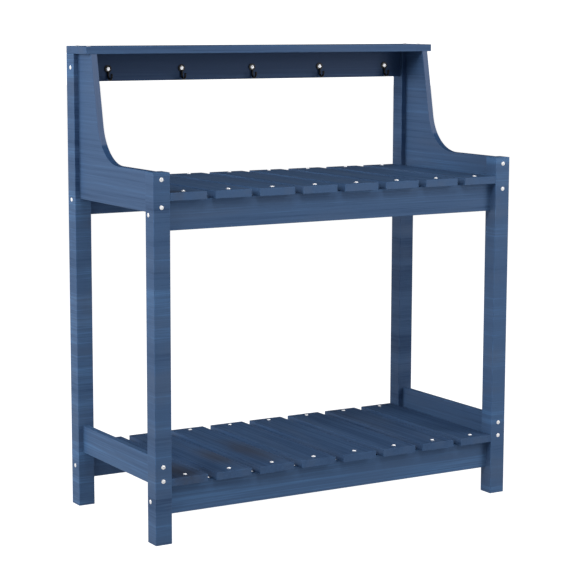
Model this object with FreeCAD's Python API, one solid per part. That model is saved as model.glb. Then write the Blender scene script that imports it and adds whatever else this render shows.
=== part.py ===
import FreeCAD, Part
import math
import os

# Potting bench in stained wood: four posts, a slatted work surface, a slatted lower shelf, two
# swooped side boards that carry a top shelf, and a rail of hooks under that shelf.
# Millimetres, +Z up, front towards -Y. The origin is on the floor, under the middle of the bench.
# Every board, slat and hook is its own solid, and the screws hold them together.

V = FreeCAD.Vector

# ---- Driving dimensions ----

# The whole bench, over the posts.
bench_width = 1000.0
bench_depth = 460.0

# Posts.
post_width = 42.0
post_depth = 41.0
front_post_height = 861.0
rear_post_height = 1118.3

# Boards: aprons, side rails, side boards and the hook rail are one stock.
board_thickness = 16.0
apron_height = 69.5
rail_height = 67.0
edge_radius = 1.2

# Slats, the same on both levels.
slat_count = 8
slat_width = 95.0
slat_thickness = 18.5
work_height = 814.2
lower_shelf_height = 154.0

# Aprons stand back from the faces of the posts.
front_apron_setback = 20.0
rear_apron_setback = 10.0

# Side boards, between the front and rear posts.
side_inset = 12.2
side_board_bottom = 767.4
side_lean_deg = 10.8
side_curve_radius = 110.0

# Top shelf and the rail under it.
shelf_depth = 114.5
shelf_thickness = 18.2
hook_rail_height = 67.6
hook_rail_setback = 16.0

# Hooks.
hook_count = 5
hook_first_inset = 95.0
hook_height = 1080.4
rosette_diameter = 18.5
rosette_thickness = 2.5
rosette_edge_radius = 0.7
hook_rod_diameter = 5.5
hook_rod_standoff = 3.2
hook_rod_top = 7.6
hook_bend_radius = 9.0
hook_bend_drop = 17.0
hook_tip_drop = 14.5
hook_tip_diameter = 6.6

# Screws: button heads with a cross recess.
screw_head_diameter = 10.0
screw_shank_diameter = 4.5
screw_head_height = 2.2
hook_screw_head_diameter = 9.0
hook_screw_shank_diameter = 3.5
screw_rim_height = 0.5
screw_tip_length = 6.0
screw_tip_diameter = 0.6
recess_width = 1.1
recess_depth = 1.5
recess_span_share = 0.46
post_screw_length = 75.0
slat_screw_length = 45.0
hook_screw_length = 16.0

# Places of the screws.
front_screw_line = 26.0
rear_screw_line = 20.0
hook_rail_screw_line = 23.0
side_board_front_screws = (782.0, 845.0)
side_board_rear_screws = (782.0, 845.0, 1020.0)
side_rail_screws = (150.5, 184.0)
upper_apron_screw = 764.0
lower_apron_screw = 99.5
hook_rail_screw = 1085.0
shelf_front_screw_inset = 31.5

# ---- Planes that the pieces share ----

half_width = bench_width / 2
half_depth = bench_depth / 2
post_inner = half_width - post_width
side_outer = half_width - side_inset
side_inner = side_outer - board_thickness
side_middle = (side_outer + side_inner) / 2
front_post_rear = -half_depth + post_depth
rear_post_front = half_depth - post_depth
work_slat_bottom = work_height - slat_thickness
lower_slat_bottom = lower_shelf_height - slat_thickness
shelf_front = half_depth - shelf_depth
shelf_top = rear_post_height + shelf_thickness
hook_rail_rear = half_depth - hook_rail_setback
hook_rail_front = hook_rail_rear - board_thickness
slat_pitch = (2 * post_inner - slat_width) / (slat_count - 1)
slat_middles = [-post_inner + slat_width / 2 + index * slat_pitch for index in range(slat_count)]
front_screw_y = -half_depth + front_screw_line
rear_screw_y = half_depth - rear_screw_line

AXES = {"x": V(1, 0, 0), "y": V(0, 1, 0), "z": V(0, 0, 1)}
UP, FRONT, BACK = V(0, 0, 1), V(0, -1, 0), V(0, 1, 0)
SIDES = (("left", -1), ("right", 1))


# ---- Boards ----

def runs_along(edge, direction):
    """True for a straight edge that is parallel to the direction."""
    if not isinstance(edge.Curve, Part.Line):
        return False
    return abs(abs(edge.Curve.Direction.dot(direction)) - 1) < 1e-6


def board(x_span, y_span, z_span, grain, ends_eased=False):
    """A sawn board with rounded long edges. Its grain runs along the axis named by grain."""
    (x0, x1), (y0, y1), (z0, z1) = sorted(x_span), sorted(y_span), sorted(z_span)
    solid = Part.makeBox(x1 - x0, y1 - y0, z1 - z0, V(x0, y0, z0))
    edges = solid.Edges
    if not ends_eased:
        edges = [edge for edge in edges if runs_along(edge, AXES[grain])]
    return solid.makeFillet(edge_radius, edges)


def make_posts():
    """Two short front posts and two tall rear posts."""
    posts = {}
    for side, sign in SIDES:
        x_span = (sign * half_width, sign * post_inner)
        posts["front_post_" + side] = board(
            x_span, (-half_depth, front_post_rear), (0, front_post_height), "z", ends_eased=True)
        posts["rear_post_" + side] = board(
            x_span, (rear_post_front, half_depth), (0, rear_post_height), "z", ends_eased=True)
    return posts


def make_aprons():
    """Front and rear aprons under the slats of both levels, from post to post."""
    front_y = (-half_depth + front_apron_setback, -half_depth + front_apron_setback + board_thickness)
    rear_y = (half_depth - rear_apron_setback - board_thickness, half_depth - rear_apron_setback)
    aprons = {}
    for level, top in (("upper", work_slat_bottom), ("lower", lower_slat_bottom)):
        for place, y_span in (("front", front_y), ("rear", rear_y)):
            aprons[level + "_" + place + "_apron"] = board(
                (-post_inner, post_inner), y_span, (top - apron_height, top), "x")
    return aprons


def make_side_rails():
    """Rails between the front and rear posts, beside the lower slats."""
    rails = {}
    for side, sign in SIDES:
        rails["side_rail_" + side] = board(
            (sign * side_outer, sign * side_inner), (front_post_rear, rear_post_front),
            (lower_slat_bottom, lower_slat_bottom + rail_height), "y")
    return rails


def side_board_outline(x):
    """The swooped outline in the plane at x: a low arm, a concave sweep and a leaning front edge."""
    lean = math.radians(side_lean_deg)
    turn = math.pi / 2 - lean
    corner_y = shelf_front - math.tan(lean) * (rear_post_height - front_post_height)
    tangent = side_curve_radius * math.tan(turn / 2)
    arm_end = V(x, corner_y - tangent, front_post_height)
    centre = arm_end + V(0, 0, side_curve_radius)
    arc_middle = centre + V(0, math.sin(turn / 2), -math.cos(turn / 2)) * side_curve_radius
    arc_end = centre + V(0, math.sin(turn), -math.cos(turn)) * side_curve_radius
    bottom_rear = V(x, rear_post_front, side_board_bottom)
    bottom_front = V(x, front_post_rear, side_board_bottom)
    arm_front = V(x, front_post_rear, front_post_height)
    top_front = V(x, shelf_front, rear_post_height)
    top_rear = V(x, rear_post_front, rear_post_height)
    return Part.Wire([
        Part.makeLine(bottom_rear, bottom_front),
        Part.makeLine(bottom_front, arm_front),
        Part.makeLine(arm_front, arm_end),
        Part.Arc(arm_end, arc_middle, arc_end).toShape(),
        Part.makeLine(arc_end, top_front),
        Part.makeLine(top_front, top_rear),
        Part.makeLine(top_rear, bottom_rear)])


def side_board(sign):
    """One side board. Its edges are rounded where no post or shelf covers them."""
    low_x = min(sign * side_outer, sign * side_inner)
    solid = Part.Face(side_board_outline(low_x)).extrude(V(board_thickness, 0, 0))

    def is_open(edge):
        box = edge.BoundBox
        across = box.XLength > edge_radius
        on_post = box.YLength < 1e-3 and not across
        on_shelf = box.ZMin > rear_post_height - 1e-3
        return not (across or on_post or on_shelf)

    return solid.makeFillet(edge_radius, [edge for edge in solid.Edges if is_open(edge)])


def make_slats():
    """Slats of both levels, side by side from post to post, each as long as the bench is deep."""
    slats = {}
    for level, top in (("work", work_height), ("lower", lower_shelf_height)):
        for number, middle in enumerate(slat_middles, start=1):
            slats["%s_slat_%d" % (level, number)] = board(
                (middle - slat_width / 2, middle + slat_width / 2), (-half_depth, half_depth),
                (top - slat_thickness, top), "y", ends_eased=True)
    return slats


def make_boards():
    """Every wooden piece by its name."""
    boards = {}
    boards.update(make_posts())
    boards.update(make_aprons())
    boards.update(make_side_rails())
    boards.update(make_slats())
    for side, sign in SIDES:
        boards["side_board_" + side] = side_board(sign)
    boards["top_shelf"] = board(
        (-half_width, half_width), (shelf_front, half_depth), (rear_post_height, shelf_top), "x",
        ends_eased=True)
    boards["hook_rail"] = board(
        (-post_inner, post_inner), (hook_rail_front, hook_rail_rear),
        (rear_post_height - hook_rail_height, rear_post_height), "x")
    return boards


# ---- Hooks ----

def hook_places():
    """Where the middle of each hook's rosette meets the rail."""
    first = -half_width + hook_first_inset
    pitch = -2 * first / (hook_count - 1)
    return [V(first + index * pitch, hook_rail_front, hook_height) for index in range(hook_count)]


def hook(place):
    """A cast hook: a round rosette, a stem that drops from it, a bend and a ball at the tip."""
    rosette = Part.makeCylinder(rosette_diameter / 2, rosette_thickness, V(0, 0, 0), FRONT)
    front_rim = [edge for edge in rosette.Edges if edge.BoundBox.YMax < -rosette_thickness + 1e-3]
    rosette = rosette.makeFillet(rosette_edge_radius, front_rim)

    radius = hook_rod_diameter / 2
    stem_top = V(0, -hook_rod_standoff, -hook_rod_top)
    stem_end = V(0, -hook_rod_standoff, -hook_bend_drop)
    bend_middle = stem_end + V(0, -hook_bend_radius, -hook_bend_radius)
    bend_end = stem_end + V(0, -2 * hook_bend_radius, 0)
    tip = V(0, bend_end.y, -hook_tip_drop)
    path = Part.Wire([
        Part.makeLine(stem_top, stem_end),
        Part.Arc(stem_end, bend_middle, bend_end).toShape(),
        Part.makeLine(bend_end, tip)])
    section = Part.Wire([Part.makeCircle(radius, stem_top, UP)])
    rod = path.makePipeShell([section], True, True)
    cap = Part.makeSphere(radius, stem_top)
    ball = Part.makeSphere(hook_tip_diameter / 2, tip)

    solid = rosette.fuse([rod, cap, ball]).removeSplitter().Solids[0]
    solid.translate(place)
    return solid


# ---- Screws ----

def screw_shank(length, diameter):
    """The space that a shank takes in the wood, from the surface down -Z to a blunt point."""
    plain = length - screw_tip_length
    shank = Part.makeCylinder(diameter / 2, plain, V(0, 0, -plain))
    point = Part.makeCone(
        diameter / 2, screw_tip_diameter / 2, screw_tip_length, V(0, 0, -plain), V(0, 0, -1))
    return shank.fuse(point).removeSplitter()


def screw(length, shank_diameter, head_diameter):
    """A screw along -Z: a button head with a cross recess on the plane z = 0, a shank and a point."""
    plain = length - screw_tip_length
    rim = V(head_diameter / 2, 0, screw_rim_height)
    shoulder = V(head_diameter * 0.3, 0, screw_rim_height + (screw_head_height - screw_rim_height) * 0.68)
    crown = V(0, 0, screw_head_height)
    corners = [
        crown, V(0, 0, -length), V(screw_tip_diameter / 2, 0, -length), V(shank_diameter / 2, 0, -plain),
        V(shank_diameter / 2, 0, 0), V(head_diameter / 2, 0, 0), rim]
    lines = [Part.makeLine(start, end) for start, end in zip(corners, corners[1:])]
    profile = Part.Wire(lines + [Part.Arc(rim, shoulder, crown).toShape()])
    body = Part.Face(profile).revolve(V(0, 0, 0), V(0, 0, 1), 360)
    span = head_diameter * recess_span_share
    slot = Part.makeBox(span, recess_width, recess_depth,
                        V(-span / 2, -recess_width / 2, screw_head_height - recess_depth))
    crossing = slot.copy()
    crossing.rotate(V(0, 0, 0), V(0, 0, 1), 90)
    return body.cut(slot.fuse(crossing)).Solids[0]


def placed(shape, surface_point, outward):
    """A copy of a shape made along +Z, moved so that +Z points outward from the surface point."""
    copy = shape.copy()
    copy.Placement = FreeCAD.Placement(surface_point, FreeCAD.Rotation(V(0, 0, 1), outward))
    return copy


def slat_screws(top):
    """Two rows of screws down through the slats whose top is at this height."""
    return [(V(x, y, top), UP) for y in (front_screw_y, rear_screw_y) for x in slat_middles]


def post_screws(front_heights, rear_heights):
    """Screws through the front and rear faces of the posts, in line with the side boards."""
    screws = []
    for _, sign in SIDES:
        x = sign * side_middle
        screws += [(V(x, -half_depth, z), FRONT) for z in front_heights]
        screws += [(V(x, half_depth, z), BACK) for z in rear_heights]
    return screws


def end_screws(lines, heights):
    """Screws through the outer faces of the posts into the ends of the boards between them."""
    return [
        (V(sign * half_width, y, z), V(sign, 0, 0))
        for _, sign in SIDES for y in lines for z in heights]


def shelf_screws():
    """Screws down through the top shelf: one into each side board and one into each rear post."""
    lines = (shelf_front + shelf_front_screw_inset, rear_screw_y)
    return [(V(sign * side_middle, y, shelf_top), UP) for _, sign in SIDES for y in lines]


def screw_groups():
    """Each group's screw length, and each screw's surface point and outward direction."""
    side_boards = post_screws(side_board_front_screws, side_board_rear_screws)
    side_rails = post_screws(side_rail_screws, side_rail_screws)
    aprons = end_screws((front_screw_y, rear_screw_y), (upper_apron_screw, lower_apron_screw))
    hook_rail = end_screws((half_depth - hook_rail_screw_line,), (hook_rail_screw,))
    return {
        "work_slat_screws": (slat_screw_length, slat_screws(work_height)),
        "lower_slat_screws": (slat_screw_length, slat_screws(lower_shelf_height)),
        "shelf_screws": (slat_screw_length, shelf_screws()),
        "side_board_screws": (post_screw_length, side_boards),
        "side_rail_screws": (post_screw_length, side_rails),
        "apron_screws": (post_screw_length, aprons),
        "hook_rail_screws": (post_screw_length, hook_rail)}


def drill(pieces, shank):
    """Cut a screw's hole in every piece that its shank passes through."""
    for name, piece in pieces.items():
        if piece.BoundBox.intersect(shank.BoundBox):
            pieces[name] = piece.cut(shank).Solids[0]


def fasten(pieces, length, places, head_diameter, shank_diameter):
    """Drill the pieces for one group of screws and return the screws as one group of solids."""
    shank = screw_shank(length, shank_diameter)
    whole = screw(length, shank_diameter, head_diameter)
    for point, outward in places:
        drill(pieces, placed(shank, point, outward))
    return Part.makeCompound([placed(whole, point, outward) for point, outward in places])


# ---- The bench ----

def make_bench():
    """Every node of the bench by its name."""
    pieces = make_boards()
    for index, place in enumerate(hook_places()):
        pieces["hook_%d" % (index + 1)] = hook(place)
    screws = {}
    for group, (length, places) in screw_groups().items():
        screws[group] = fasten(pieces, length, places, screw_head_diameter, screw_shank_diameter)
    hook_faces = [(place + FRONT * rosette_thickness, FRONT) for place in hook_places()]
    screws["hook_screws"] = fasten(
        pieces, hook_screw_length, hook_faces, hook_screw_head_diameter, hook_screw_shank_diameter)
    return {**pieces, **screws}


os.makedirs("parts", exist_ok=True)
for node, shape in make_bench().items():
    shape.exportStep("parts/" + node + ".step")
    print("%-22s solids %2d  volume %10.0f mm3  valid %s" % (
        node, len(shape.Solids), shape.Volume, shape.isValid()))
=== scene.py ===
import math
import random

import bpy
from mathutils import Matrix, Vector


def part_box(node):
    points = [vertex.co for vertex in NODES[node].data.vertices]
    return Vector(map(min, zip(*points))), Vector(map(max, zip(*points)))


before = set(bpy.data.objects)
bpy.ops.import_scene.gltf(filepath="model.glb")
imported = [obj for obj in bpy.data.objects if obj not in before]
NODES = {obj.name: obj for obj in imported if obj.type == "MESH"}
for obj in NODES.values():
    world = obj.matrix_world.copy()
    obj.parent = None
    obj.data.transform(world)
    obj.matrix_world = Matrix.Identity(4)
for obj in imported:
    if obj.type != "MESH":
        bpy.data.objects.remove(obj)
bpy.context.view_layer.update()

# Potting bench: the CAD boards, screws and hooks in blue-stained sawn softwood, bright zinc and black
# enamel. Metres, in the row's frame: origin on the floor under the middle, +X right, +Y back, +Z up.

X, Y, Z = 0, 1, 2
rng = random.Random(11)

# Stain colours, linear
STAIN_DEEP = (0.024, 0.054, 0.124, 1.0)
STAIN_MID = (0.052, 0.104, 0.210, 1.0)
STAIN_PALE = (0.080, 0.180, 0.360, 1.0)
STAIN_GREY = (0.072, 0.110, 0.188, 1.0)
STAIN_EDGE = (0.093, 0.135, 0.235, 1.0)
# The curved part of the side boards' edge: painted shade, a deeper blue than the stain
CURVE_PAINTED_SHADE = (0.024, 0.062, 0.150, 1.0)
BARE_BROWN = (0.052, 0.056, 0.072, 1.0)

# Metal and stage colours, linear
ZINC_DULL = (0.90, 0.90, 0.92, 1.0)
ENAMEL_DEEP = (0.003, 0.003, 0.004, 1.0)
ENAMEL_DUSTY = (0.010, 0.010, 0.012, 1.0)
STAGE_GREY = (0.30, 0.30, 0.30, 1.0)
WHITE = (1.0, 1.0, 1.0, 1.0)

# Noise layers of the sawn posts, of the planed boards and of their brown patches: the rate along the
# board's length and the rate across it, per metre, then detail, roughness, and a shift that keeps the
# layers from lining up
POST_LAYERS = {
    "saw": (270.0, 7.0, 4.0, 0.62, 0.0),
    "chatter": (95.0, 5.0, 2.0, 0.5, 1.7),
    "band": (27.0, 1.6, 2.0, 0.5, 3.1),
    "cloud": (19.0, 1.2, 1.0, 0.5, 7.7),
    "lines": (62.0, 4.0, 1.0, 0.4, 11.3),
    "cool": (14.0, 6.0, 2.0, 0.5, 17.9),
}
BOARD_LAYERS = {
    "pores": (2.6, 330.0, 4.0, 0.62, 0.0),
    "fibre": (0.9, 120.0, 3.0, 0.6, 3.1),
    "wander": (6.0, 22.0, 2.0, 0.5, 5.3),
    "cloud": (1.3, 24.0, 1.0, 0.5, 7.7),
    "cool": (3.0, 20.0, 2.0, 0.5, 17.9),
}
PATCH_LAYER = (14.0, 60.0, 3.0, 0.6, 23.0)

# How strongly each layer shades the stain
POST_WEIGHTS = {"saw": 1.0, "chatter": 0.35, "band": 0.9, "cloud": 0.9}
BOARD_WEIGHTS = {"pores": 1.2, "fibre": 0.8, "cloud": 0.6, "rings": -0.06}

# Noise layers of the metals, by name: rate per metre, detail and roughness
METAL_LAYERS = {
    "spangle": (900.0, 2.0, 0.5),
    "scuff": (3000.0, 2.0, 0.6),
    "dust": (500.0, 3.0, 0.6),
    "peel": (1400.0, 1.0, 0.4),
}

# The stained finish: its specular level, its roughness on deep and on pale wood, and its relief
WOOD_GLOSS = 0.10
ROUGH_DEEP, ROUGH_PALE = 0.50, 0.34
RELIEF_DEPTH, RELIEF_STRENGTH = 0.0004, 0.25

# Growth rings: how many per metre, how many of them the grain wanders over, how the pith line leans on
# each axis in metres per metre, how near and how far it may pass from the frame's origin on each, and
# how much lower the rings lie than the wood between them
RING_RATE = 170.0
RING_WANDER = 5.0
PITH_LEAN = (0.030, -0.022)
PITH_NEAR, PITH_FAR = 0.02, 0.06
RING_RELIEF = -0.3

# Where the noise called lines turns into a thin pale line, and how pale that is
LINE_EDGES = (0.66, 0.74)
LINE_TONE = 0.16

# Where the noise called cool turns the stain grey, and how grey it turns a post
COOL_EDGES = (0.45, 0.75)
POST_GREY = 0.5

# Worn edges, partly rubbed wear and partly a painted highlight along the edges: how far in they reach, in
# metres, where their own noise lets them show, and its rate per metre, and then how far they show on a
# post
WEAR_AND_HIGHLIGHT_REACH = (0.0005, 0.0026)
WEAR_AND_HIGHLIGHT_EDGES = (0.35, 0.7)
WEAR_AND_HIGHLIGHT_RATES = (40.0, 40.0, 40.0)
POST_WEAR_AND_HIGHLIGHT = 0.35

# How strong the grain is on a board's ends
END_GRAIN = 0.45

# Painted shade: how much deeper the stain is painted in the shaded corner by a side board, and in the
# shelf's shade over the hook rail and in the corner at its right end, with the distances from that end
# where it starts and is full
CORNER_PAINTED_SHADE = 0.32
SHELF_PAINTED_SHADE = 0.16
RAIL_END_SHADE_START, RAIL_END_SHADE_FULL = 0.055, 0.025

# A brown patch's strength in its middle, and where it starts to fade and is gone, by its half size
PATCH_STRENGTH = 0.62
PATCH_EDGES = (0.1, 1.25)

# Half the width of the soft seam where one colour turns into another at a given height
CORNER_SEAM = 0.002
CURVE_SEAM = 0.003

# The side boards' sawn edge: its streaks' rates per metre, and how much of its colour they let show
STREAK_RATES = (600.0, 9.0, 9.0)
STREAK_SHARES = (0.70, 1.0)

# How single boards differ: tone is paler above 0 and deeper below, contrast is how strongly the grain
# shows, grey is how far the stain may grey, wear_and_highlight is how far its edges may rub pale and carry
# a painted highlight, and gloss is the finish's specular level
LOOKS = {
    "rear_post_left": {"tone": 0.08},
    "front_post_left": {"contrast": 0.85},
    "front_post_right": {"tone": 0.03, "contrast": 0.65},
    "rear_post_right": {"tone": -0.22, "contrast": 0.6},
    "lower_front_apron": {"tone": 0.14, "contrast": 0.65},
    # The hook rail's deep tone is partly painted shade, standing in for the shelf that hangs over it
    "hook_rail": {"tone": -0.42, "grey": 0.0, "contrast": 0.55, "gloss": 0.15},
    "top_shelf": {"tone": -0.08},
    "side_rail_left": {"tone": 0.08},
}

# How the boards of one kind look, where LOOKS doesn't say otherwise
SIDE_BOARD_LOOK = {"tone": -0.05, "contrast": 0.8}
SIDE_RAIL_LOOK = {"contrast": 0.8}
LONG_BOARD_LOOK = {"contrast": 0.85}
WORK_SLAT_LOOK = {"tone": -0.03, "contrast": 0.65, "wear_and_highlight": 0.12}
LOWER_SLAT_LOOK = {"tone": -0.18, "contrast": 0.65, "wear_and_highlight": 0.12}

# Brown patches by slat: middle (x, y), half length along the slat, half width
PATCHES = {
    "work_slat_1": [(-0.441, -0.205, 0.030, 0.026)],
    "lower_slat_1": [(-0.410, -0.165, 0.110, 0.055)],
    "lower_slat_2": [(-0.268, -0.083, 0.110, 0.040)],
    "lower_slat_3": [(-0.165, -0.065, 0.140, 0.042)],
}

# The height where the side boards' leaning front edge ends and their curve begins
CURVE_TOP = 0.905

# Stage: the square floor's side, the radius of the dome around it, and how brightly each glows
FLOOR_SIZE = 60.0
DOME_RADIUS = 29.0
FLOOR_GLOW = 1.0
DOME_GLOW = 1.1

# Ambient light from below and from above the horizon, and how softly one turns into the other
FLOOR_BOUNCE = 0.62
ROOM_GLOW = 0.03
HORIZON_BLUR = 0.12

# Lamps by name: azimuth and elevation in degrees, and watts. Azimuth 0 is straight in front of the
# bench and 90 is on its left.
LAMPS = {
    "left_key": (74.0, 30.0, 85.0),
    "right_key": (-40.0, 30.0, 44.0),
    "low_right_key": (-42.0, 9.0, 42.0),
    "left_rear_fill": (120.0, 10.0, 78.0),
    "top_fill": (20.0, 50.0, 56.0),
    "right_fill": (-98.0, 15.0, 45.0),
    "hook_sparkle": (-33.0, 4.0, 150.0),
    "slat_sparkle": (-20.0, 42.0, 110.0),
}

# Lamps that light nothing but these nodes
SPARKLES = {
    "hook_sparkle": ("hook_screws",),
    "slat_sparkle": ("work_slat_screws", "lower_slat_screws"),
}
LAMP_SIZE = 2.0
LAMP_DISTANCE = 4.4
LAMP_TARGET = Vector((0.0, 0.0, 0.6))

# The photographed viewpoint: where the camera stands, how it is turned, in degrees, and its lens in mm
EYE = (-2.4003, -3.9757, 1.2085)
HEADING, TILT, ROLL = 31.023, 8.237, 0.159
LENS, SENSOR = 117.28, 36.0
CLIP_NEAR, CLIP_FAR = 0.05, 100.0


class Graph:
    """A material's node tree, written like a formula: each method adds one node and returns its output."""

    def __init__(self, name):
        self.material = bpy.data.materials.new(name)
        self.material.use_nodes = True
        self.tree = self.material.node_tree
        self.tree.nodes.clear()

    def feed(self, socket, value):
        """Links an output to a socket, or sets the socket to a number, vector or colour."""
        if isinstance(value, bpy.types.NodeSocket):
            self.tree.links.new(value, socket)
        else:
            socket.default_value = value

    def math(self, operation, *values):
        node = self.tree.nodes.new("ShaderNodeMath")
        node.operation = operation
        for socket, value in zip(node.inputs, values):
            self.feed(socket, value)
        return node.outputs[0]

    def split(self, vector):
        node = self.tree.nodes.new("ShaderNodeSeparateXYZ")
        self.feed(node.inputs[0], vector)
        return tuple(node.outputs)

    def join(self, values):
        node = self.tree.nodes.new("ShaderNodeCombineXYZ")
        for socket, value in zip(node.inputs, values):
            self.feed(socket, value)
        return node.outputs[0]

    def position(self):
        """The point's X, Y and Z in metres."""
        coordinates = self.tree.nodes.new("ShaderNodeTexCoord")
        return self.split(coordinates.outputs["Object"])

    def facing(self):
        """The surface normal's X, Y and Z."""
        geometry = self.tree.nodes.new("ShaderNodeNewGeometry")
        return self.split(geometry.outputs["Normal"])

    def noise(self, point, rates, detail, roughness, offset=0.0):
        """Noise from 0 to 1 that changes at its own rate, per metre, along each axis."""
        scaled = [self.math("MULTIPLY_ADD", p, r, offset) for p, r in zip(point, rates)]
        node = self.tree.nodes.new("ShaderNodeTexNoise")
        node.inputs["Scale"].default_value = 1.0
        node.inputs["Detail"].default_value = detail
        node.inputs["Roughness"].default_value = roughness
        self.feed(node.inputs["Vector"], self.join(scaled))
        return node.outputs["Fac"]

    def fade(self, value, low, high, at_low=0.0, at_high=1.0):
        """A smooth step from at_low to at_high as value goes from low to high."""
        node = self.tree.nodes.new("ShaderNodeMapRange")
        node.interpolation_type = "SMOOTHSTEP"
        self.feed(node.inputs["Value"], value)
        self.feed(node.inputs["From Min"], low)
        self.feed(node.inputs["From Max"], high)
        self.feed(node.inputs["To Min"], at_low)
        self.feed(node.inputs["To Max"], at_high)
        return node.outputs["Result"]

    def total(self, weighted, gain):
        """0.5 plus the sum of gain * weight * (value - 0.5) over the (weight, value) pairs given."""
        result = 0.5
        for weight, value in weighted:
            centred = self.math("SUBTRACT", value, 0.5)
            result = self.math("MULTIPLY_ADD", centred, weight * gain, result)
        return result

    def blend(self, factor, first, second):
        """A colour that goes from first to second as factor goes from 0 to 1."""
        node = self.tree.nodes.new("ShaderNodeMixRGB")
        self.feed(node.inputs[0], factor)
        self.feed(node.inputs[1], first)
        self.feed(node.inputs[2], second)
        return node.outputs[0]

    def bump(self, height, depth, strength):
        node = self.tree.nodes.new("ShaderNodeBump")
        node.inputs["Distance"].default_value = depth
        node.inputs["Strength"].default_value = strength
        self.feed(node.inputs["Height"], height)
        return node.outputs["Normal"]

    def surface(self, colour, roughness, normal, metallic=0.0, specular=0.5):
        """Finishes the tree with a plain shader and returns the material."""
        shader = self.tree.nodes.new("ShaderNodeBsdfPrincipled")
        shader.inputs["Metallic"].default_value = metallic
        shader.inputs["Specular IOR Level"].default_value = specular
        self.feed(shader.inputs["Base Color"], colour)
        self.feed(shader.inputs["Roughness"], roughness)
        self.feed(shader.inputs["Normal"], normal)
        return self.finish(shader)

    def finish(self, shader):
        output = self.tree.nodes.new("ShaderNodeOutputMaterial")
        self.tree.links.new(shader.outputs[0], output.inputs["Surface"])
        return self.material


# ---- Wood ----


def wood_layer(graph, point, along, layer, offset):
    """One noise layer of a board that runs along the given axis."""
    along_rate, across_rate, detail, roughness, shift = layer
    rates = [along_rate if axis == along else across_rate for axis in (X, Y, Z)]
    return graph.noise(point, rates, detail, roughness, offset + shift)


def wood_shade(graph, layers, weights, contrast):
    """How pale the stain is, about 0.5, from the layers that weights names."""
    return graph.total([(weight, layers[name]) for name, weight in weights.items()], contrast)


def edge_distance(graph, point, node):
    """How far a point on a square-cut board's face is from that face's nearest edge, in metres."""
    low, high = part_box(node)
    depths = []
    for axis in (X, Y, Z):
        middle = (low[axis] + high[axis]) / 2
        half = (high[axis] - low[axis]) / 2
        off = graph.math("ABSOLUTE", graph.math("SUBTRACT", point[axis], middle))
        depths.append(graph.math("SUBTRACT", half, off))
    # The point's own face is at the least depth, so the middle one of the three leads to its nearest edge
    first, second, third = depths
    least = graph.math("MINIMUM", graph.math("MINIMUM", first, second), third)
    most = graph.math("MAXIMUM", graph.math("MAXIMUM", first, second), third)
    whole = graph.math("ADD", graph.math("ADD", first, second), third)
    return graph.math("SUBTRACT", graph.math("SUBTRACT", whole, least), most)


def growth_rings(graph, point, along, wander):
    """Long nested arches, from growth rings about a pith line that runs slightly askew."""
    across = [axis for axis in (X, Y, Z) if axis != along]
    squares = []
    for axis, lean in zip(across, PITH_LEAN):
        shifted = graph.math("ADD", point[axis], rng.uniform(PITH_NEAR, PITH_FAR))
        tilted = graph.math("MULTIPLY_ADD", point[along], lean, shifted)
        squares.append(graph.math("POWER", graph.math("ABSOLUTE", tilted), 2.0))
    radius = graph.math("SQRT", graph.math("ADD", *squares))
    turns = graph.math("MULTIPLY", radius, RING_RATE)
    turns = graph.math("MULTIPLY_ADD", wander, RING_WANDER, turns)
    late = graph.math("PINGPONG", turns, 1.0)
    return graph.fade(late, 0.15, 0.95)


def stain(graph, shade, greyness):
    """The stain's colour where shade goes from 0, deep, through 0.5 to 1, pale, and some of it greys."""
    deep_to_mid = graph.blend(graph.fade(shade, 0.0, 0.5), STAIN_DEEP, STAIN_MID)
    colour = graph.blend(graph.fade(shade, 0.5, 1.0), deep_to_mid, STAIN_PALE)
    return graph.blend(greyness, colour, STAIN_GREY)


def worn_and_highlit_edges(graph, point, node, colour, offset, most):
    """Paints a board's edges paler, partly as rubbed wear and partly as a painted edge highlight, in some
    places up to the share given by most.
    """
    close = graph.fade(edge_distance(graph, point, node), *WEAR_AND_HIGHLIGHT_REACH, 1.0, 0.0)
    worn_and_highlit = graph.noise(point, WEAR_AND_HIGHLIGHT_RATES, 2.0, 0.5, offset)
    patchy = graph.fade(worn_and_highlit, *WEAR_AND_HIGHLIGHT_EDGES, 0.0, most)
    return graph.blend(graph.math("MULTIPLY", close, patchy), colour, STAIN_PALE)


def finish_wood(graph, colour, relief, shade, gloss=WOOD_GLOSS):
    """The satin finish over the stain: paler wood is smoother, and the relief shows as fine bumps."""
    roughness = graph.fade(shade, 0.2, 0.8, ROUGH_DEEP, ROUGH_PALE)
    normal = graph.bump(relief, RELIEF_DEPTH, RELIEF_STRENGTH)
    return graph.surface(colour, roughness, normal, specular=gloss)


def post_material(node, tone=0.0, contrast=1.0):
    """Sawn post: fine saw marks and soft bands across its length, with a few thin pale lines."""
    graph = Graph("stained_" + node)
    point = graph.position()
    offset = rng.uniform(5.0, 90.0)
    layers = {name: wood_layer(graph, point, Z, layer, offset) for name, layer in POST_LAYERS.items()}
    shade = wood_shade(graph, layers, POST_WEIGHTS, contrast)
    pale_line = graph.fade(layers["lines"], *LINE_EDGES)
    shade = graph.math("MULTIPLY_ADD", pale_line, LINE_TONE * contrast, shade)
    shade = graph.math("ADD", shade, tone)
    # painted shade: the rear post's front face is darkened in the corner where the side board shades it
    if node.startswith("rear_post"):
        shade = graph.math("SUBTRACT", shade, painted_shade_beside_board(graph, point))
    colour = stain(graph, shade, graph.fade(layers["cool"], *COOL_EDGES, 0.0, POST_GREY))
    # paler edges: partly wear, partly a painted edge highlight
    colour = worn_and_highlit_edges(graph, point, node, colour, offset, POST_WEAR_AND_HIGHLIGHT)
    return finish_wood(graph, colour, layers["saw"], shade)


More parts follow.
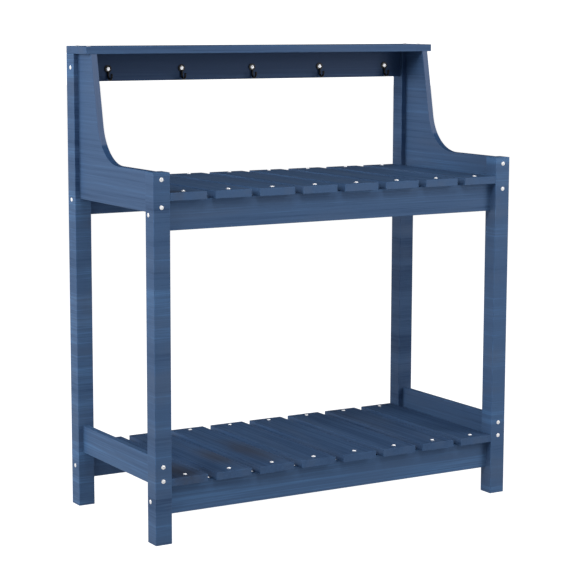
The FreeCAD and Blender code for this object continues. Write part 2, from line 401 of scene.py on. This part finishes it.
def painted_shade_beside_board(graph, point):
    """How much painted shade deepens a rear post's front face in the narrow corner beside the side board,
    where the board shades it.
    """
    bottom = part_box("side_board_left")[0][Z]
    front = graph.fade(graph.facing()[Y], -0.9, -0.5, CORNER_PAINTED_SHADE, 0.0)
    above = graph.fade(point[Z], bottom - CORNER_SEAM, bottom + CORNER_SEAM)
    return graph.math("MULTIPLY", front, above)


def board_material(node, along, tone=0.0, contrast=1.0, wear_and_highlight=0.3, grey=0.4, gloss=WOOD_GLOSS, patches=()):
    """Planed board: long fine grain, faint arched rings and soft clouds, weaker on its ends."""
    graph = Graph("stained_" + node)
    point = graph.position()
    offset = rng.uniform(5.0, 90.0)
    layers = {name: wood_layer(graph, point, along, layer, offset) for name, layer in BOARD_LAYERS.items()}
    layers["rings"] = growth_rings(graph, point, along, layers["wander"])
    figure = wood_shade(graph, layers, BOARD_WEIGHTS, contrast)
    on_end = graph.math("ABSOLUTE", graph.facing()[along])
    strength = graph.fade(on_end, 0.5, 0.9, 1.0, END_GRAIN)
    shade = graph.math("MULTIPLY_ADD", graph.math("SUBTRACT", figure, 0.5), strength, 0.5 + tone)
    # painted shade on the hook rail: darker under the shelf and in the shaded corner at its right end
    if node == "hook_rail":
        shade = graph.math("SUBTRACT", shade, painted_rail_shade(graph, point))
    colour = stain(graph, shade, graph.fade(layers["cool"], *COOL_EDGES, 0.0, grey))
    for place in patches:
        colour = brown_patch(graph, point, colour, place, offset)
    if node.startswith("side_board"):
        colour = cut_edge(graph, point, colour)
    else:
        # paler edges: partly wear, partly a painted edge highlight
        colour = worn_and_highlit_edges(graph, point, node, colour, offset, wear_and_highlight)
    relief = graph.math("MULTIPLY_ADD", layers["rings"], RING_RELIEF, layers["pores"])
    return finish_wood(graph, colour, relief, shade, gloss)


def painted_rail_shade(graph, point):
    """Painted shade on the hook rail: how much deeper it is painted close under the shelf, and in the
    shaded corner at its right end.
    """
    low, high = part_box("hook_rail")
    under = graph.fade(point[Z], low[Z], high[Z], 0.0, SHELF_PAINTED_SHADE)
    start, full = high[X] - RAIL_END_SHADE_START, high[X] - RAIL_END_SHADE_FULL
    corner = graph.fade(point[X], start, full, 0.0, SHELF_PAINTED_SHADE)
    return graph.math("ADD", under, corner)


def cut_edge(graph, point, colour):
    """The side board's narrow sawn edge: greyer on the leaning part, and from the curve down a deeper blue
    that is painted shade.
    """
    sideways = graph.math("ABSOLUTE", graph.facing()[X])
    narrow = graph.fade(sideways, 0.4, 0.6, 1.0, 0.0)
    high = graph.fade(point[Z], CURVE_TOP - CURVE_SEAM, CURVE_TOP + CURVE_SEAM)
    streak = graph.noise(point, STREAK_RATES, 2.0, 0.5)
    # below the curve the edge takes painted shade, above it its grey sawn colour
    sawn_edge_and_shade = graph.blend(high, CURVE_PAINTED_SHADE, STAIN_EDGE)
    share = graph.math("MULTIPLY", narrow, graph.fade(streak, 0.3, 0.7, *STREAK_SHARES))
    return graph.blend(share, colour, sawn_edge_and_shade)


def brown_patch(graph, point, colour, place, offset):
    """A soft brownish patch, where the stain took less. Its place is as in PATCHES."""
    x, y, half_length, half_width = place
    across = graph.math("DIVIDE", graph.math("SUBTRACT", point[X], x), half_width)
    along = graph.math("DIVIDE", graph.math("SUBTRACT", point[Y], y), half_length)
    squares = [graph.math("POWER", part, 2.0) for part in (across, along)]
    far = graph.math("SQRT", graph.math("ADD", *squares))
    ragged = wood_layer(graph, point, Y, PATCH_LAYER, offset)
    far = graph.math("ADD", far, graph.math("SUBTRACT", ragged, 0.5))
    return graph.blend(graph.fade(far, *PATCH_EDGES, PATCH_STRENGTH, 0.0), colour, BARE_BROWN)


# ---- Metal ----


def metal_layer(graph, point, name):
    """One fine noise layer with the same rate along all three axes."""
    rate, detail, roughness = METAL_LAYERS[name]
    return graph.noise(point, (rate, rate, rate), detail, roughness)


def zinc_material():
    """Bright zinc plate with a fine spangle and tiny scuffs."""
    graph = Graph("bright_zinc")
    point = graph.position()
    spangle = metal_layer(graph, point, "spangle")
    scuff = metal_layer(graph, point, "scuff")
    colour = graph.blend(spangle, ZINC_DULL, WHITE)
    roughness = graph.fade(spangle, 0.3, 0.7, 0.34, 0.50)
    return graph.surface(colour, roughness, graph.bump(scuff, 0.0001, 0.2), metallic=0.10)


def enamel_material():
    """Satin black enamel with a little dust and orange peel."""
    graph = Graph("black_enamel")
    point = graph.position()
    dust = metal_layer(graph, point, "dust")
    peel = metal_layer(graph, point, "peel")
    colour = graph.blend(graph.fade(dust, 0.4, 0.8), ENAMEL_DEEP, ENAMEL_DUSTY)
    roughness = graph.fade(dust, 0.3, 0.7, 0.22, 0.36)
    return graph.surface(colour, roughness, graph.bump(peel, 0.0001, 0.25), specular=0.25)


# ---- Dressing the CAD nodes ----


def dress(node, material):
    for slot in NODES[node].material_slots:
        slot.material = material


def board_look(node, kind_look):
    """A board's look: its kind's values, with its own from LOOKS over them."""
    return {**kind_look, **LOOKS.get(node, {})}


def dress_boards():
    """Gives each post and board a material of its own, with the grain along the board."""
    for node in NODES:
        if "_post_" in node:
            dress(node, post_material(node, **board_look(node, {})))
        elif node.startswith("side_board"):
            dress(node, board_material(node, Y, **board_look(node, SIDE_BOARD_LOOK)))
        elif node.startswith("side_rail"):
            dress(node, board_material(node, Y, **board_look(node, SIDE_RAIL_LOOK)))
        elif node.endswith("_apron") or node in ("top_shelf", "hook_rail"):
            dress(node, board_material(node, X, **board_look(node, LONG_BOARD_LOOK)))
        elif "_slat_" in node and not node.endswith("screws"):
            kind_look = WORK_SLAT_LOOK if node.startswith("work") else LOWER_SLAT_LOOK
            patches = PATCHES.get(node, ())
            dress(node, board_material(node, Y, patches=patches, **board_look(node, kind_look)))


def dress_metal():
    zinc = zinc_material()
    enamel = enamel_material()
    for node in NODES:
        if node.endswith("screws"):
            dress(node, zinc)
        elif node.startswith("hook_") and node != "hook_rail":
            dress(node, enamel)


# ---- Stage, lights and camera ----


def only_seen(stage):
    """Shows the stage to the camera alone, so that only the lamps and the sky shade the bench."""
    stage.visible_diffuse = False
    stage.visible_glossy = False
    stage.visible_transmission = False
    stage.visible_shadow = False


def stage_material(name, glow):
    graph = Graph(name)
    shader = graph.tree.nodes.new("ShaderNodeBsdfPrincipled")
    shader.inputs["Base Color"].default_value = STAGE_GREY
    shader.inputs["Roughness"].default_value = 1.0
    shader.inputs["Specular IOR Level"].default_value = 0.0
    shader.inputs["Emission Color"].default_value = WHITE
    shader.inputs["Emission Strength"].default_value = glow
    return graph.finish(shader)


def stage_floor():
    bpy.ops.mesh.primitive_plane_add(size=FLOOR_SIZE, location=(0.0, 0.0, 0.0))
    floor = bpy.context.object
    floor.name = "floor"
    floor.data.materials.append(stage_material("pale_floor", FLOOR_GLOW))
    only_seen(floor)


def stage_backdrop():
    bpy.ops.mesh.primitive_uv_sphere_add(
        segments=48, ring_count=24, radius=DOME_RADIUS, location=(0.0, 0.0, 0.0)
    )
    backdrop = bpy.context.object
    backdrop.name = "backdrop"
    backdrop.data.materials.append(stage_material("pale_backdrop", DOME_GLOW))
    only_seen(backdrop)


def sky():
    """Ambient light: nearly dark above the horizon, and a pale floor's soft bounce from below it."""
    world = bpy.data.worlds.new("studio")
    bpy.context.scene.world = world
    world.use_nodes = True
    tree = world.node_tree
    tree.nodes.clear()
    coordinates = tree.nodes.new("ShaderNodeTexCoord")
    split = tree.nodes.new("ShaderNodeSeparateXYZ")
    tree.links.new(coordinates.outputs["Generated"], split.inputs[0])
    ramp = tree.nodes.new("ShaderNodeMapRange")
    ramp.interpolation_type = "SMOOTHSTEP"
    ramp.inputs["From Min"].default_value = -HORIZON_BLUR
    ramp.inputs["From Max"].default_value = HORIZON_BLUR
    ramp.inputs["To Min"].default_value = FLOOR_BOUNCE
    ramp.inputs["To Max"].default_value = ROOM_GLOW
    tree.links.new(split.outputs["Z"], ramp.inputs["Value"])
    background = tree.nodes.new("ShaderNodeBackground")
    background.inputs["Color"].default_value = WHITE
    tree.links.new(ramp.outputs["Result"], background.inputs["Strength"])
    output = tree.nodes.new("ShaderNodeOutputWorld")
    tree.links.new(background.outputs[0], output.inputs["Surface"])


def softbox(name, azimuth, elevation, power):
    """A square lamp aimed at the bench's middle."""
    around, rise = math.radians(azimuth), math.radians(elevation)
    flat = math.cos(rise)
    towards = Vector((-math.sin(around) * flat, -math.cos(around) * flat, math.sin(rise)))
    data = bpy.data.lights.new(name, "AREA")
    data.shape = "SQUARE"
    data.size = LAMP_SIZE
    data.energy = power
    lamp = bpy.data.objects.new(name, data)
    lamp.location = LAMP_TARGET + towards * LAMP_DISTANCE
    lamp.rotation_euler = (-towards).to_track_quat("-Z", "Y").to_euler()
    bpy.context.scene.collection.objects.link(lamp)
    return lamp


def light_only(lamp, nodes):
    """Keeps a lamp's light to some nodes, as a screen in a studio does."""
    lit = bpy.data.collections.new("lit_by_" + lamp.name)
    for node in nodes:
        lit.objects.link(NODES[node])
    lamp.light_linking.receiver_collection = lit


def light_scene():
    sky()
    for name, (azimuth, elevation, power) in LAMPS.items():
        lamp = softbox(name, azimuth, elevation, power)
        if name in SPARKLES:
            light_only(lamp, SPARKLES[name])


def place_camera():
    """Stands the camera at EYE, turned right by HEADING, down by TILT, and about its own axis by ROLL."""
    heading, tilt, roll = (math.radians(angle) for angle in (HEADING, TILT, ROLL))
    flat = math.cos(tilt)
    ahead = Vector((math.sin(heading) * flat, math.cos(heading) * flat, -math.sin(tilt)))
    level = Vector((math.cos(heading), -math.sin(heading), 0.0))
    upright = level.cross(ahead)
    right = level * math.cos(roll) + upright * math.sin(roll)
    up = upright * math.cos(roll) - level * math.sin(roll)
    turn = Matrix((right, up, -ahead)).transposed().to_4x4()
    data = bpy.data.cameras.new("camera")
    data.lens = LENS
    data.sensor_width = SENSOR
    data.clip_start = CLIP_NEAR
    data.clip_end = CLIP_FAR
    camera = bpy.data.objects.new("camera", data)
    camera.matrix_world = Matrix.Translation(EYE) @ turn
    bpy.context.scene.collection.objects.link(camera)
    bpy.context.scene.camera = camera


dress_boards()
dress_metal()
stage_floor()
stage_backdrop()
light_scene()
place_camera()
bpy.context.scene.view_settings.view_transform = "Standard"
